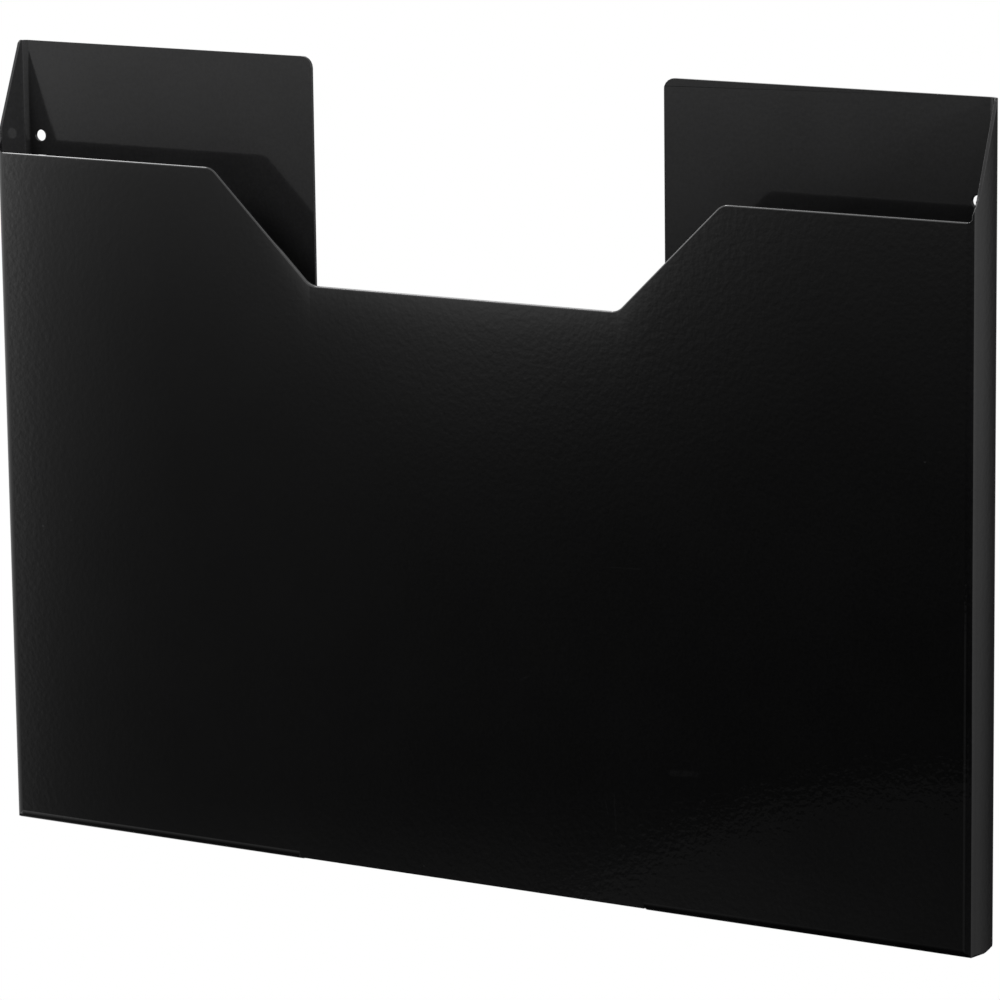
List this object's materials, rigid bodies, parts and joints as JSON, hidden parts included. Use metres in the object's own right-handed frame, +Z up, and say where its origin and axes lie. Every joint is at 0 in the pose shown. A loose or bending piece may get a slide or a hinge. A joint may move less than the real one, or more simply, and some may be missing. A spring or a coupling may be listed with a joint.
{
  "type": "magnetic wall file rack",
  "caption": "Shallow wall pocket for landscape sheets and folders, folded from black coated sheet steel, with a finger scoop in front and magnet sheets behind.",
  "frame": {"origin": "on the wall plane that the magnet sheets lie on, at mid width, level with the rack's bottom edge", "axes": "+X along the wall to the right seen from the front, +Y into the wall, +Z up"},
  "size_m": [0.33, 0.018, 0.245],
  "materials": {
    "coated_steel": "semi-gloss powder coat with fine orange peel",
    "coated_weld": "semi-gloss powder coat over a rippled bead",
    "rubber_magnet": "matt filled rubber",
    "adhesive_tape": "matt foam tape edge"
  },
  "bodies": {
    "root": {"folded_steel_body": "coated_steel", "left_corner_weld": "coated_weld", "left_side_weld": "coated_weld", "left_rear_weld_inner": "coated_weld", "left_rear_weld_outer": "coated_weld", "right_corner_weld": "coated_weld", "right_side_weld": "coated_weld", "right_rear_weld_inner": "coated_weld", "right_rear_weld_outer": "coated_weld", "left_upper_magnet_sheet": "rubber_magnet", "left_lower_magnet_sheet": "rubber_magnet", "right_upper_magnet_sheet": "rubber_magnet", "right_lower_magnet_sheet": "rubber_magnet", "left_upper_adhesive_tape": "adhesive_tape", "left_lower_adhesive_tape": "adhesive_tape", "right_upper_adhesive_tape": "adhesive_tape", "right_lower_adhesive_tape": "adhesive_tape"}
  },
  "joints": []
}
